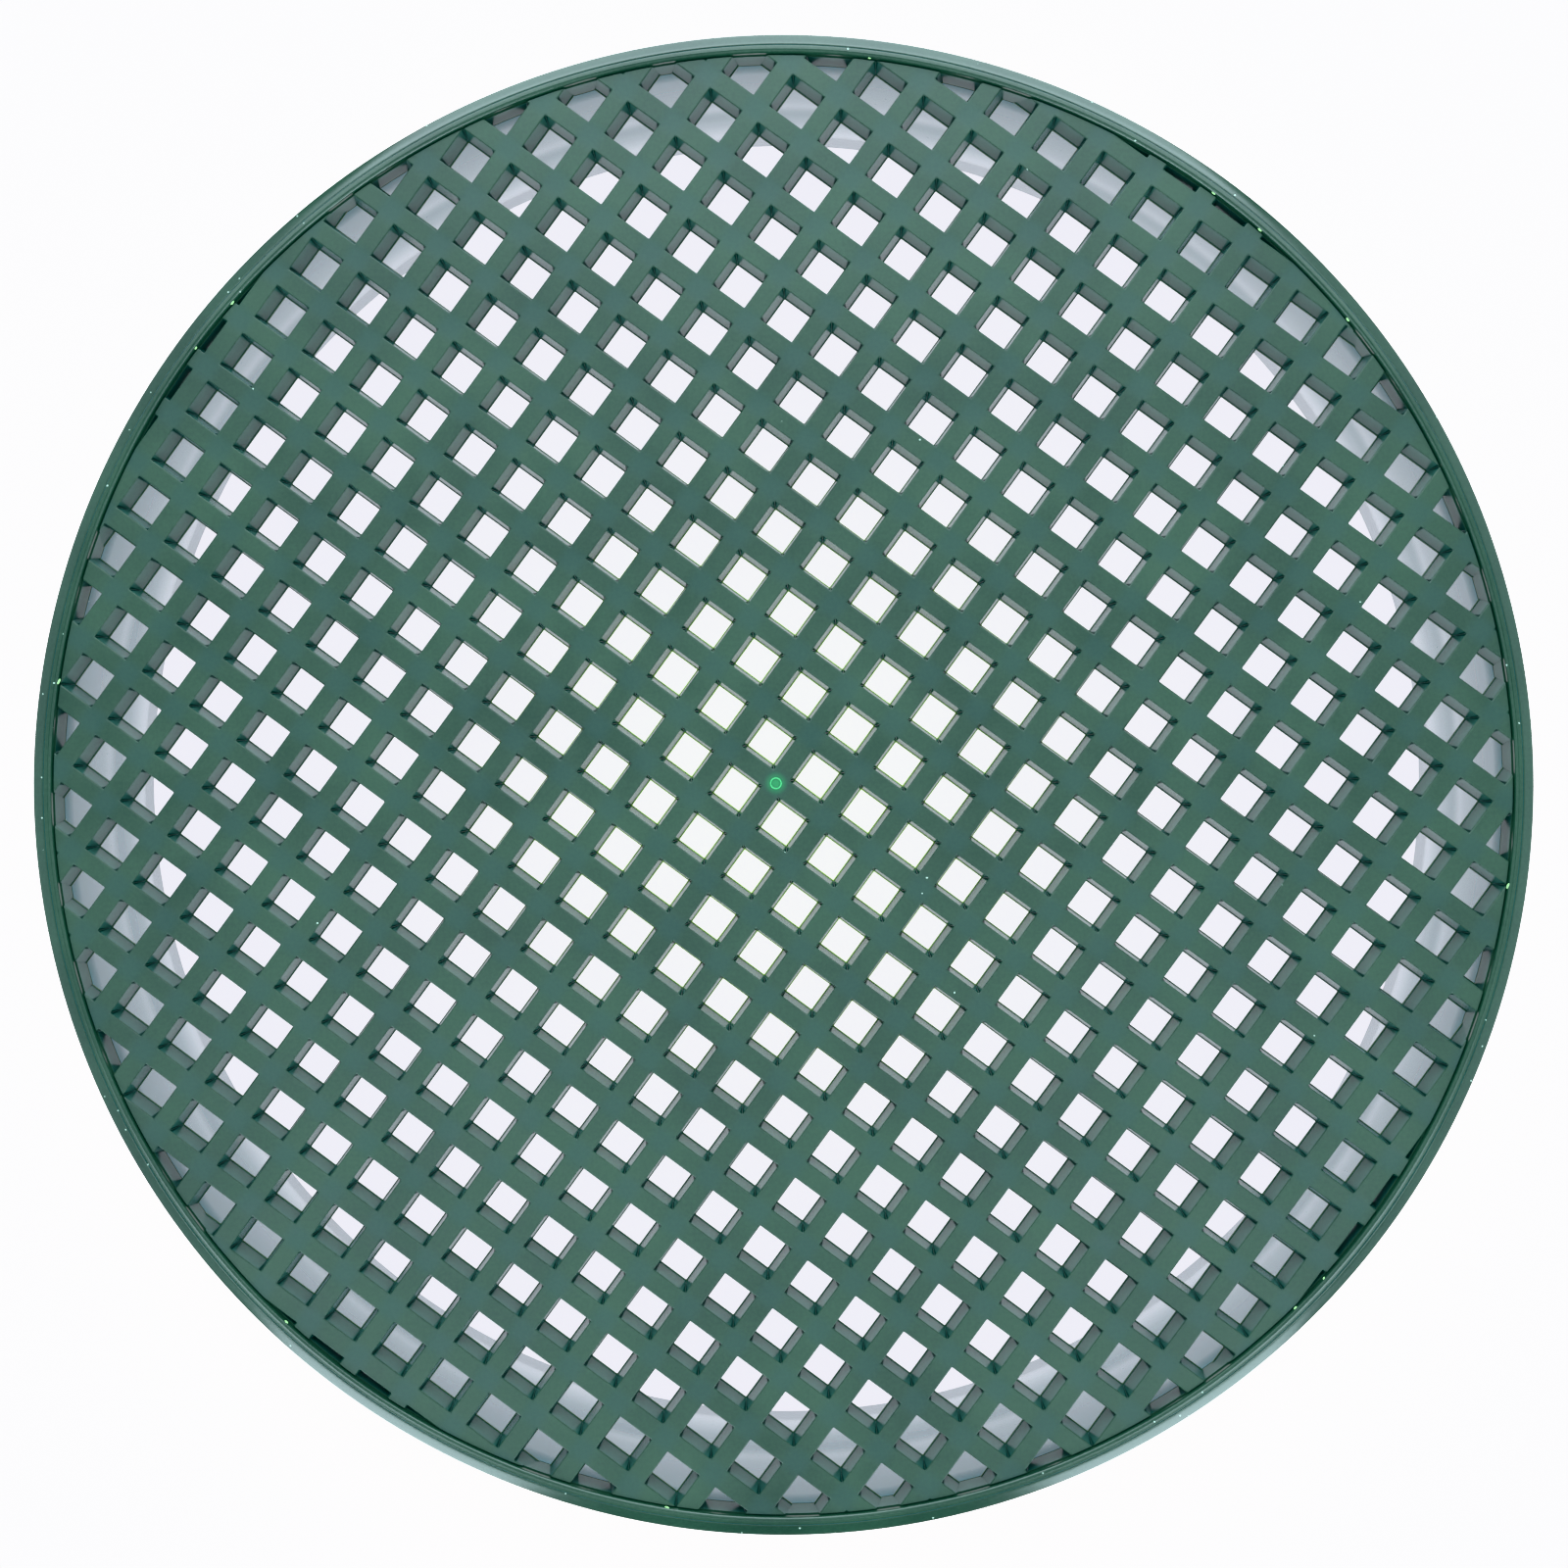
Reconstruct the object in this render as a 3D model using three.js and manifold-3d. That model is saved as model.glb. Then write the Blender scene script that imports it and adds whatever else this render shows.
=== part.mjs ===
// A round plastic garden sieve, lying with its grid up and its open side on the ground.
// Millimetres, +Z up. The origin is on the ground, at the centre of the open end.
import * as THREE from 'three';
import { mergeVertices } from 'three/addons/utils/BufferGeometryUtils.js';
import Module from 'manifold-3d';

const wasm = await Module();
wasm.setup();

// Driving dimensions of the whole sieve
const OVERALL_HEIGHT = 90;
const RIM_RADIUS = 190;              // outside of the grid end
const JOINT_GAP = 0.3;               // clear space between touching mouldings
const ROUND_SEGMENTS = 72;           // flats round every turned piece

// The grid: square holes on a square lattice, clipped by the edge band
const GRID_PITCH = 15;
const BAR_TOP_WIDTH = 4.5;               // the bars widen downwards, so they slid off the mould's pins
const BAR_BOTTOM_WIDTH = 6.9;
const GRID_DEPTH = 6.5;
const GRID_TURN = -36 * Math.PI / 180;   // the way the bars run, about +Z
const GRID_TOP = OVERALL_HEIGHT - 1;     // the bars lie just below the rim's crest
const GRID_FIELD_RADIUS = 184.5;         // holes are clipped by this circle
const GRID_TOP_RADIUS = 184.4;           // the bars' tops end just inside the retaining ring
const EDGE_BAND_RADIUS = 186.6;          // outside of the grid's own edge band
const EDGE_BAND_DROP = 1;                // how far the edge band's top lies below the bars
const SMALLEST_HOLE_REACH = 0.3;         // a hole that enters the field by less is left out

// The retaining ring, pressed into the rebate over the edge band
const RING_INNER_RADIUS = 184.8;
const RING_OUTER_RADIUS = 186.6;
const RING_CREST_INNER = 185.4;
const RING_CREST_OUTER = 186.3;
const RING_INNER_EDGE_DROP = 0.7;        // the crest slopes down to the ring's inner edge

// The hoop
const WALL = 2.1;
const REBATE_RADIUS = RING_OUTER_RADIUS + JOINT_GAP;
const LEDGE_TOP = GRID_TOP - GRID_DEPTH - JOINT_GAP;
const LEDGE_THICKNESS = 2.4;
const COLLAR_RADIUS = 184.4;             // inside of the straight collar under the ledge
const COLLAR_BOTTOM = GRID_TOP - 12;     // where the skirt starts to flare
const OPEN_RADIUS = 192.5;               // inside of the open end
const END_CREST_WIDTH = 0.5;             // flat top of the wall at the grid end
const END_SLOPE_RADIUS = 189.2;          // the wall's top slopes down as far as this radius
const END_SLOPE_DROP = 0.9;
const END_ROUND_DROP = 2.2;              // below it, the outer edge is rounded down to this depth
const END_ROUND_STEPS = 3;
const RIB_HEIGHT = 41;                   // middle of the stiffening rib, above the ground
const RIB_THICKNESS = 2;
const RIB_REACH = 2.6;                   // how far it stands out of the skirt
const LIP_REACH = 6.5;                   // outward flange at the open end
const LIP_THICKNESS = 2.2;
const LIP_TURN_HEIGHT = 8;               // the flange's outer edge is turned up by this much

const PLASTIC_GREEN = 0x2f5a4c;

/** The plastic of one moulding: semi-gloss green polypropylene. */
function plastic(roughness) {
  return new THREE.MeshStandardMaterial({ color: PLASTIC_GREEN, roughness, metalness: 0 });
}

/** A closed solid turned about the Z axis from [radius, height] points. */
function turned(points) {
  const outline = points.map(([radius, height]) => new THREE.Vector2(radius, height));
  if (points[0][0] > 0) {
    outline.push(outline[0].clone());
  }
  const geometry = new THREE.LatheGeometry(outline, ROUND_SEGMENTS);
  // LatheGeometry turns about +Y, so its axis is stood up along +Z
  return geometry.rotateX(Math.PI / 2);
}

/** A manifold-3d solid of a closed three.js geometry. */
function solidOf(geometry) {
  const bare = geometry.index ? geometry.toNonIndexed() : geometry.clone();
  bare.deleteAttribute('normal');
  bare.deleteAttribute('uv');
  const shared = mergeVertices(bare, 1e-4);
  return new wasm.Manifold(new wasm.Mesh({
    numProp: 3,
    vertProperties: new Float32Array(shared.attributes.position.array),
    triVerts: new Uint32Array(shared.index.array),
  }));
}

/** The three.js geometry of a manifold-3d solid. */
function geometryOf(solid) {
  const mesh = solid.getMesh();
  const geometry = new THREE.BufferGeometry();
  geometry.setAttribute('position', new THREE.BufferAttribute(mesh.vertProperties, 3));
  geometry.setIndex(new THREE.BufferAttribute(mesh.triVerts, 1));
  const faceted = geometry.toNonIndexed();
  faceted.computeVertexNormals();
  return faceted;
}

/** Inside radius of the hoop's skirt at a height above the ground. */
function skirtRadius(height) {
  const along = Math.min(height, COLLAR_BOTTOM) / COLLAR_BOTTOM;
  return THREE.MathUtils.lerp(OPEN_RADIUS, COLLAR_RADIUS, along);
}

/** The hoop: rebate and ledge at the grid end, flared skirt, rib and turned-over lip. */
function hoopMesh() {
  const lipRadius = OPEN_RADIUS + LIP_REACH;
  const ribBottom = RIB_HEIGHT - RIB_THICKNESS / 2;
  const ribTop = RIB_HEIGHT + RIB_THICKNESS / 2;
  const ledgeBottom = LEDGE_TOP - LEDGE_THICKNESS;
  const outside = (height) => skirtRadius(height) + WALL;

  const points = [
    [OPEN_RADIUS, 0],
    [lipRadius, 0],
    [lipRadius, LIP_TURN_HEIGHT],
    [lipRadius - LIP_THICKNESS, LIP_TURN_HEIGHT],
    [lipRadius - LIP_THICKNESS, LIP_THICKNESS],
    [outside(LIP_THICKNESS), LIP_THICKNESS],
    [outside(ribBottom), ribBottom],
    [outside(RIB_HEIGHT) + RIB_REACH, ribBottom],
    [outside(RIB_HEIGHT) + RIB_REACH, ribTop],
    [outside(ribTop), ribTop],
    [outside(COLLAR_BOTTOM), ledgeBottom - WALL],
    [RIM_RADIUS, ledgeBottom],
  ];

  // The rounded outer edge of the grid end, a quarter of an ellipse up to the slope
  for (let step = 0; step <= END_ROUND_STEPS; step += 1) {
    const angle = (step / END_ROUND_STEPS) * Math.PI / 2;
    const radius = THREE.MathUtils.lerp(END_SLOPE_RADIUS, RIM_RADIUS, Math.cos(angle));
    const drop = THREE.MathUtils.lerp(END_ROUND_DROP, END_SLOPE_DROP, Math.sin(angle));
    points.push([radius, OVERALL_HEIGHT - drop]);
  }

  points.push(
    [REBATE_RADIUS + END_CREST_WIDTH, OVERALL_HEIGHT],
    [REBATE_RADIUS, OVERALL_HEIGHT],
    [REBATE_RADIUS, LEDGE_TOP],
    [COLLAR_RADIUS, LEDGE_TOP],
    [COLLAR_RADIUS, COLLAR_BOTTOM],
  );
  const mesh = new THREE.Mesh(turned(points), plastic(0.38));
  mesh.name = 'hoop';
  return mesh;
}

/** The grid: a stepped disc with every tapered square hole of the lattice cut through it. */
function gridMesh() {
  const bottom = GRID_TOP - GRID_DEPTH;
  const bandTop = GRID_TOP - EDGE_BAND_DROP;
  const disc = solidOf(turned([
    [0, bottom],
    [EDGE_BAND_RADIUS, bottom],
    [EDGE_BAND_RADIUS, bandTop],
    [GRID_TOP_RADIUS, bandTop],
    [GRID_TOP_RADIUS, GRID_TOP],
    [0, GRID_TOP],
  ]));
  const overshoot = 1;                     // the cutters pass this far through the disc
  const throughHeight = GRID_DEPTH + 2 * overshoot;
  const field = solidOf(turned([
    [0, bottom - overshoot],
    [GRID_FIELD_RADIUS, bottom - overshoot],
    [GRID_FIELD_RADIUS, GRID_TOP + overshoot],
    [0, GRID_TOP + overshoot],
  ]));

  // A hole's half widths at the grid's top and bottom, and the slope of its walls between them
  const topHalf = (GRID_PITCH - BAR_TOP_WIDTH) / 2;
  const bottomHalf = (GRID_PITCH - BAR_BOTTOM_WIDTH) / 2;
  const slope = (topHalf - bottomHalf) / GRID_DEPTH;
  const reach = Math.ceil(GRID_FIELD_RADIUS / GRID_PITCH);
  const holes = [];
  for (let column = -reach; column < reach; column += 1) {
    for (let row = -reach; row < reach; row += 1) {
      const x = (column + 0.5) * GRID_PITCH;
      const y = (row + 0.5) * GRID_PITCH;
      const nearX = Math.abs(x) - topHalf;
      const nearY = Math.abs(y) - topHalf;
      if (Math.hypot(nearX, nearY) > GRID_FIELD_RADIUS - SMALLEST_HOLE_REACH) {
        continue;
      }
      // A four-sided cone frustum: its radii run to the corners of the square
      const pin = new THREE.CylinderGeometry(
        (topHalf + slope * overshoot) * Math.SQRT2,
        (bottomHalf - slope * overshoot) * Math.SQRT2,
        throughHeight, 4, 1, false, Math.PI / 4,
      );
      pin.rotateX(Math.PI / 2);
      pin.translate(x, y, bottom + GRID_DEPTH / 2);
      pin.rotateZ(GRID_TURN);
      holes.push(solidOf(pin));
    }
  }
  const lattice = wasm.Manifold.union(holes).intersect(field);

  const mesh = new THREE.Mesh(geometryOf(disc.subtract(lattice)), plastic(0.42));
  mesh.name = 'sieve_grid';
  return mesh;
}

/** The retaining ring: a thin ring whose crest slopes down to its inner edge. */
function ringMesh() {
  const bottom = GRID_TOP - EDGE_BAND_DROP + JOINT_GAP;
  const mesh = new THREE.Mesh(turned([
    [RING_INNER_RADIUS, bottom],
    [RING_OUTER_RADIUS, bottom],
    [RING_OUTER_RADIUS, OVERALL_HEIGHT - JOINT_GAP],
    [RING_CREST_OUTER, OVERALL_HEIGHT],
    [RING_CREST_INNER, OVERALL_HEIGHT],
    [RING_INNER_RADIUS, OVERALL_HEIGHT - RING_INNER_EDGE_DROP],
  ]), plastic(0.38));
  mesh.name = 'retaining_ring';
  return mesh;
}

const sieve = new THREE.Group();
sieve.add(hoopMesh(), gridMesh(), ringMesh());

export default sieve;
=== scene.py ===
# %% [markdown]
# # A round garden sieve, cell by cell
#
# A gardener shakes soil through a sieve like this one: a shallow round hoop with a grid of square
# holes across one end. It is made of three mouldings in green polypropylene. The hoop is the wall.
# The grid drops into a rebate at one end of it, and a thin ring pressed over the grid's edge keeps
# it there. Here the sieve lies with its grid up and its open side on a white table.
#
# Everything below works in metres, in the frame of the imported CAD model. Sizes are written in
# millimetres and multiplied by MM.

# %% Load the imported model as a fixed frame
import math
import random

import bmesh
import bpy
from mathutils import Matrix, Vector


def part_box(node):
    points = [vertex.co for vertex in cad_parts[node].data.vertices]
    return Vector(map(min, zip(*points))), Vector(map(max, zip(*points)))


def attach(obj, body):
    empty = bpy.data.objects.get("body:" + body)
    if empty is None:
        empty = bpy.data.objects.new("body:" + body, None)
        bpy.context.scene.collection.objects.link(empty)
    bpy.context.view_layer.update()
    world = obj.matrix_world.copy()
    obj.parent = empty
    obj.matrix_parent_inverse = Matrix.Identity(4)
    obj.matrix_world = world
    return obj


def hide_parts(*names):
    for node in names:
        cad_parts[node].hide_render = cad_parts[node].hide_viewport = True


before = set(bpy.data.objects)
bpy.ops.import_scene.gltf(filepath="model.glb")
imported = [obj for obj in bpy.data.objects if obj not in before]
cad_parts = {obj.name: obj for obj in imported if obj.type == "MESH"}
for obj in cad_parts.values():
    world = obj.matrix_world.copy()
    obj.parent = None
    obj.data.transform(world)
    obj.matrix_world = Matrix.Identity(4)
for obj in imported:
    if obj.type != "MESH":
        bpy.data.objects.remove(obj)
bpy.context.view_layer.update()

MM = 0.001

# %% [markdown]
# The frame gives the sizes that every piece has to keep: how wide the lip is, how high the grid
# lies, and where the ring sits. Reading them from the CAD nodes means that a changed CAD model
# still gets surfaces that fit it.

# %% Read the main sizes from the frame, in millimetres
hoop_top_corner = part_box("hoop")[1]
grid_low_corner, grid_top_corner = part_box("sieve_grid")
ring_low_corner, ring_top_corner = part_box("retaining_ring")

OVERALL_HEIGHT = hoop_top_corner.z / MM
LIP_RADIUS = hoop_top_corner.x / MM
GRID_TOP = grid_top_corner.z / MM
GRID_BOTTOM = grid_low_corner.z / MM
BAND_RADIUS = grid_top_corner.x / MM
RING_RADIUS = ring_top_corner.x / MM
RING_BOTTOM = ring_low_corner.z / MM
print(f"{OVERALL_HEIGHT=:.1f} {LIP_RADIUS=:.1f} {GRID_TOP=:.1f} {GRID_BOTTOM=:.1f}")
print(f"{BAND_RADIUS=:.1f} {RING_RADIUS=:.1f} {RING_BOTTOM=:.1f}")

# %% [markdown]
# A few sizes can't be read from boxes. They are the ones that the moulds were cut to: the spacing
# and width of the bars, the way they run, and the radii inside the hoop.

# %% Mould sizes that the boxes don't tell, in millimetres
GRID_PITCH = 15.0
BAR_TOP_WIDTH = 4.5         # the bars are wider at the bottom, so that they slid off the pins
BAR_BOTTOM_WIDTH = 6.9
GRID_TURN = math.radians(-36)
FIELD_RADIUS = 184.5        # the holes stop at this circle
BAR_TOP_RADIUS = 184.4      # the tops of the bars stop just short of the ring
EDGE_BAND_DROP = 1.0        # the grid's edge band lies this far below the tops of the bars
RIM_RADIUS = 190.0
REBATE_RADIUS = RING_RADIUS + 0.05
COLLAR_RADIUS = 184.4
OPEN_RADIUS = 192.5
WALL = 2.1
ROUND_STEPS = 288           # facets round the hoop and the grid's edge
print("holes:", GRID_PITCH - BAR_TOP_WIDTH, "mm at the top,", GRID_PITCH - BAR_BOTTOM_WIDTH, "below")

# %% [markdown]
# ## Camera
#
# The camera looks almost straight down from about 43 cm above the grid. It stands a little to one
# side of the middle and leans by about one degree, so the walls of the holes show unevenly. A small
# shift keeps the round rim in the middle of the square frame.

# %% Place the camera
camera_data = bpy.data.cameras.new("studio_camera")
camera_data.sensor_width = 36
camera_data.lens = 39.43
camera_data.shift_x = 0.0121
camera_data.shift_y = -0.0278
camera_data.clip_end = 20
camera = bpy.data.objects.new("studio_camera", camera_data)
bpy.context.scene.collection.objects.link(camera)
camera.location = (0.0074, 0.0088, 0.523)
camera.rotation_euler = (math.radians(0.273), math.radians(1.343), math.radians(0.16))
bpy.context.scene.camera = camera
print("camera height above the grid:", round(camera.location.z / MM - GRID_TOP), "mm")

# %% [markdown]
# ## Table and light
#
# The sieve lies on a light table: a white sheet of acrylic that glows from below. That is why the
# floor is bright even under the grid. There the glow is turned down: a painted shadow of the sieve.
# Soft panels stand round it like the walls of a light box: a bright one at the back, calmer ones at
# the sides, and two narrow ones at the front with a dark gap between them. The glossy rim mirrors
# them one after another. Four more hang above the camera and give the flat tops of the bars their
# even light. A weak, slightly blue world fills in the rest.

# %% Colours, nodes and bare materials: three small helpers
def linear_colour(hex_colour):
    """An sRGB hex colour as the linear RGBA values that shaders work in."""
    channels = [int(hex_colour[i:i + 2], 16) / 255 for i in (1, 3, 5)]
    linear = [c / 12.92 if c <= 0.04045 else ((c + 0.055) / 1.055) ** 2.4 for c in channels]
    return (*linear, 1.0)


def add_node(tree, kind, settings=None, inputs=None):
    """Adds a node. Settings go on the node; inputs are values, or sockets that are linked."""
    node = tree.nodes.new(kind)
    for name, value in (settings or {}).items():
        setattr(node, name, value)
    for name, value in (inputs or {}).items():
        if isinstance(value, bpy.types.NodeSocket):
            tree.links.new(value, node.inputs[name])
        else:
            node.inputs[name].default_value = value
    return node


def bare_material(name):
    """A material with no shader yet, its node tree, and the socket that gives the place."""
    material = bpy.data.materials.new(name)
    material.use_nodes = True
    tree = material.node_tree
    tree.nodes.clear()
    place = add_node(tree, "ShaderNodeTexCoord").outputs["Object"]
    return material, tree, place


# %% The glowing table
GLOW_IN_PAINTED_SHADOW = 1.25         # glow under the sieve, turned down there as a painted shadow
OPEN_GLOW = 3.6             # glow of the open table round it
GLOW_EDGE_INSIDE = 0.198    # radius in metres where the glow starts to rise
GLOW_EDGE_OUTSIDE = 0.226   # and where it has risen in full
TABLE_SIZE = 30.0
TABLE_DROP = 0.0001         # the table lies this far below the lip, so no two faces coincide


def glowing_acrylic():
    """Opal acrylic lit from below: a white diffuse sheet that glows, less under the sieve, where a
    painted shadow of it lies.
    """
    material, tree, place = bare_material("opal_acrylic")
    distance = add_node(tree, "ShaderNodeVectorMath", {"operation": "LENGTH"}, {0: place})
    outside_painted_shadow = add_node(tree, "ShaderNodeMapRange", {"interpolation_type": "SMOOTHSTEP"}, {
        "Value": distance.outputs["Value"],
        "From Min": GLOW_EDGE_INSIDE, "From Max": GLOW_EDGE_OUTSIDE})
    glow = add_node(tree, "ShaderNodeMapRange", inputs={
        "Value": outside_painted_shadow.outputs[0], "To Min": GLOW_IN_PAINTED_SHADOW, "To Max": OPEN_GLOW})
    tint = add_node(tree, "ShaderNodeMix", {"data_type": "RGBA"}, {
        "Factor": outside_painted_shadow.outputs[0],
        "A": linear_colour("#FBF5FF"), "B": linear_colour("#FFF7F1")})
    surface = add_node(tree, "ShaderNodeBsdfPrincipled", inputs={
        "Base Color": linear_colour("#DCD9E4"),
        "Roughness": 0.6,
        "Emission Color": tint.outputs["Result"],
        "Emission Strength": glow.outputs[0],
    })
    add_node(tree, "ShaderNodeOutputMaterial", inputs={"Surface": surface.outputs[0]})
    return material


bpy.ops.object.select_all(action="DESELECT")
bpy.ops.mesh.primitive_plane_add(size=TABLE_SIZE, location=(0, 0, -TABLE_DROP))
table = bpy.context.object
table.name = "light_table"
table.data.materials.append(glowing_acrylic())
print("table:", table.name, "glow:", GLOW_IN_PAINTED_SHADOW, "to", OPEN_GLOW)


# %% Soft panels round the table
PANEL_TINT = (0.74, 0.93, 1.0)      # cool daylight
PANEL_AIM = Vector((0, 0, 0.05))    # the middle of the sieve


def soft_panel(name, azimuth, distance, height, size, radiance):
    """A panel that faces the sieve, in metres. Azimuth 0 is at the back, 90 on the right."""
    width, tall = size
    light = bpy.data.lights.new(name, "AREA")
    light.shape = "RECTANGLE"
    light.size = width
    light.size_y = tall
    light.energy = radiance * math.pi * width * tall
    light.color = PANEL_TINT
    panel = bpy.data.objects.new(name, light)
    bpy.context.scene.collection.objects.link(panel)
    angle = math.radians(azimuth)
    place = Vector((math.sin(angle) * distance, math.cos(angle) * distance, height))
    panel.location = place
    panel.rotation_euler = (PANEL_AIM - place).to_track_quat("-Z", "Y").to_euler()
    panel.visible_camera = False
    return panel


# Name, azimuth, distance, height, (width, tall), radiance
PANELS = [
    ("back_panel", 1, 1.0, 0.55, (1.2, 1.1), 4.7),
    ("right_panel", 88, 1.0, 0.55, (1.75, 1.1), 1.15),
    ("left_panel", -88, 1.0, 0.55, (1.75, 1.1), 0.95),
    ("front_right_panel", 149, 1.1, 0.5, (0.4, 1.0), 7.6),
    ("front_left_panel", -149, 1.1, 0.5, (0.4, 1.0), 7.6),
    ("top_panel", 0, 0.15, 1.9, (2.2, 2.2), 0.5),
    ("top_back_panel", 0, 0.75, 1.3, (1.6, 0.7), 2.5),
    ("top_front_right_panel", 138, 0.72, 1.7, (0.45, 0.45), 6.4),
    ("top_front_left_panel", -138, 0.72, 1.7, (0.45, 0.45), 6.4),
]
for panel_values in PANELS:
    soft_panel(*panel_values)
print("panels:", len(PANELS))

# %% The air of the studio
world = bpy.data.worlds.new("studio_air")
bpy.context.scene.world = world
world.use_nodes = True
air = world.node_tree.nodes["Background"]
air.inputs["Color"].default_value = linear_colour("#DCEEF6")
air.inputs["Strength"].default_value = 0.36
print("world:", world.name)
bpy.context.scene.view_settings.view_transform = "Khronos PBR Neutral"

# %% [markdown]
# ## Polypropylene
#
# All three pieces are injection moulded polypropylene, dyed dark green. The plastic is slightly
# glossy because the steel mould was polished, and never quite even: it shrinks as it cools, so
# thick places sink a little, the dye clouds where the melt flowed, and shaken soil leaves pale
# specks. Fresnel does the rest: seen at a low angle, even dark plastic mirrors the white table.
# The grain of a real moulded skin is too fine to show here, so the mottle and the orange peel are
# drawn close to a millimetre wide.

# %% Build the plastic from patterns with real sizes
def per_mm(size):
    """Texture scale that makes a pattern's features this many millimetres wide."""
    return 1 / (size * MM)


def cloudy_colour(tree, place, deep_hex, pale_hex):
    """The dye: broad clouds from the melt's flow, and a fine mottle of the surface skin."""
    clouds = add_node(tree, "ShaderNodeTexNoise", inputs={
        "Vector": place, "Scale": per_mm(28), "Detail": 3.0, "Roughness": 0.55})
    mottle = add_node(tree, "ShaderNodeTexNoise", inputs={
        "Vector": place, "Scale": per_mm(0.9), "Detail": 2.0, "Roughness": 0.6})
    both = add_node(tree, "ShaderNodeMath", {"operation": "MULTIPLY_ADD"}, {
        0: mottle.outputs["Fac"], 1: 0.55, 2: clouds.outputs["Fac"]})
    spread = add_node(tree, "ShaderNodeMapRange", inputs={
        "Value": both.outputs[0], "From Min": 0.52, "From Max": 1.02})
    colour = add_node(tree, "ShaderNodeMix", {"data_type": "RGBA"}, {
        "Factor": spread.outputs[0], "A": linear_colour(deep_hex), "B": linear_colour(pale_hex)})
    return colour.outputs["Result"]


def pale_specks(tree, place, spacing, width):
    """Mask of small scuffs and soil grains, sized in mm, most of them left out at random."""
    cells = add_node(tree, "ShaderNodeTexVoronoi", inputs={
        "Vector": place, "Scale": per_mm(spacing), "Randomness": 1.0})
    ragged = add_node(tree, "ShaderNodeTexNoise", inputs={
        "Vector": place, "Scale": per_mm(0.5), "Detail": 2.0})
    edge = add_node(tree, "ShaderNodeMath", {"operation": "MULTIPLY_ADD"}, {
        0: ragged.outputs["Fac"], 1: 1.2 * width / spacing, 2: cells.outputs["Distance"]})
    spot = add_node(tree, "ShaderNodeMath", {"operation": "LESS_THAN"}, {
        0: edge.outputs[0], 1: 1.1 * width / spacing})
    luck = add_node(tree, "ShaderNodeSeparateColor", inputs={"Color": cells.outputs["Color"]})
    chosen = add_node(tree, "ShaderNodeMath", {"operation": "LESS_THAN"}, {
        0: luck.outputs[0], 1: 0.35})
    mask = add_node(tree, "ShaderNodeMath", {"operation": "MULTIPLY"}, {
        0: spot.outputs[0], 1: chosen.outputs[0]})
    return mask.outputs[0]


def upright_mask(tree):
    """1 on upright walls and 0 on level faces, from the surface normal."""
    geometry = add_node(tree, "ShaderNodeNewGeometry")
    parts = add_node(tree, "ShaderNodeSeparateXYZ", inputs={"Vector": geometry.outputs["Normal"]})
    level = add_node(tree, "ShaderNodeMath", {"operation": "ABSOLUTE"}, {0: parts.outputs["Z"]})
    upright = add_node(tree, "ShaderNodeMapRange", inputs={
        "Value": level.outputs[0], "From Min": 0.5, "From Max": 0.1})
    return upright.outputs[0]


def inner_face_mask(tree, place):
    """1 on upright faces that look at the axis of the sieve, and 0 on all others."""
    flat = add_node(tree, "ShaderNodeMapping", inputs={"Vector": place, "Scale": (1, 1, 0)})
    outward = add_node(tree, "ShaderNodeVectorMath", {"operation": "NORMALIZE"}, {
        0: flat.outputs[0]})
    geometry = add_node(tree, "ShaderNodeNewGeometry")
    facing = add_node(tree, "ShaderNodeVectorMath", {"operation": "DOT_PRODUCT"}, {
        0: outward.outputs[0], 1: geometry.outputs["Normal"]})
    inner = add_node(tree, "ShaderNodeMapRange", inputs={
        "Value": facing.outputs["Value"], "From Min": -0.6, "From Max": -0.9})
    return inner.outputs[0]


def draw_marks(tree, place):
    """Fine lines down the walls, where the moulding slid out of the steel."""
    stretched = add_node(tree, "ShaderNodeMapping", inputs={"Vector": place, "Scale": (1, 1, 0.06)})
    lines = add_node(tree, "ShaderNodeTexNoise", inputs={
        "Vector": stretched.outputs[0], "Scale": per_mm(0.45), "Detail": 2.0, "Roughness": 0.7})
    return lines.outputs["Fac"]


def moulded_skin(tree, place, draw_lines, upright, wave_mm, draw_mm):
    """Height of the skin in metres: broad waves, fine orange peel, and draw marks on walls."""
    waves = add_node(tree, "ShaderNodeTexNoise", inputs={
        "Vector": place, "Scale": per_mm(9), "Detail": 1.0})
    peel = add_node(tree, "ShaderNodeTexNoise", inputs={
        "Vector": place, "Scale": per_mm(0.8), "Detail": 2.0})
    level = add_node(tree, "ShaderNodeMath", {"operation": "SUBTRACT"}, {0: 1.0, 1: upright})
    wave_height = add_node(tree, "ShaderNodeMath", {"operation": "MULTIPLY"}, {
        0: waves.outputs["Fac"], 1: wave_mm * MM})
    level_waves = add_node(tree, "ShaderNodeMath", {"operation": "MULTIPLY"}, {
        0: wave_height.outputs[0], 1: level.outputs[0]})
    peel_depth = add_node(tree, "ShaderNodeMapRange", inputs={
        "Value": upright, "To Min": 0.004 * MM, "To Max": 0.0003 * MM})
    both = add_node(tree, "ShaderNodeMath", {"operation": "MULTIPLY_ADD"}, {
        0: peel.outputs["Fac"], 1: peel_depth.outputs[0], 2: level_waves.outputs[0]})
    on_walls = add_node(tree, "ShaderNodeMath", {"operation": "MULTIPLY"}, {
        0: draw_lines, 1: upright})
    height = add_node(tree, "ShaderNodeMath", {"operation": "MULTIPLY_ADD"}, {
        0: on_walls.outputs[0], 1: draw_mm * MM, 2: both.outputs[0]})
    return height.outputs[0]
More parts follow.
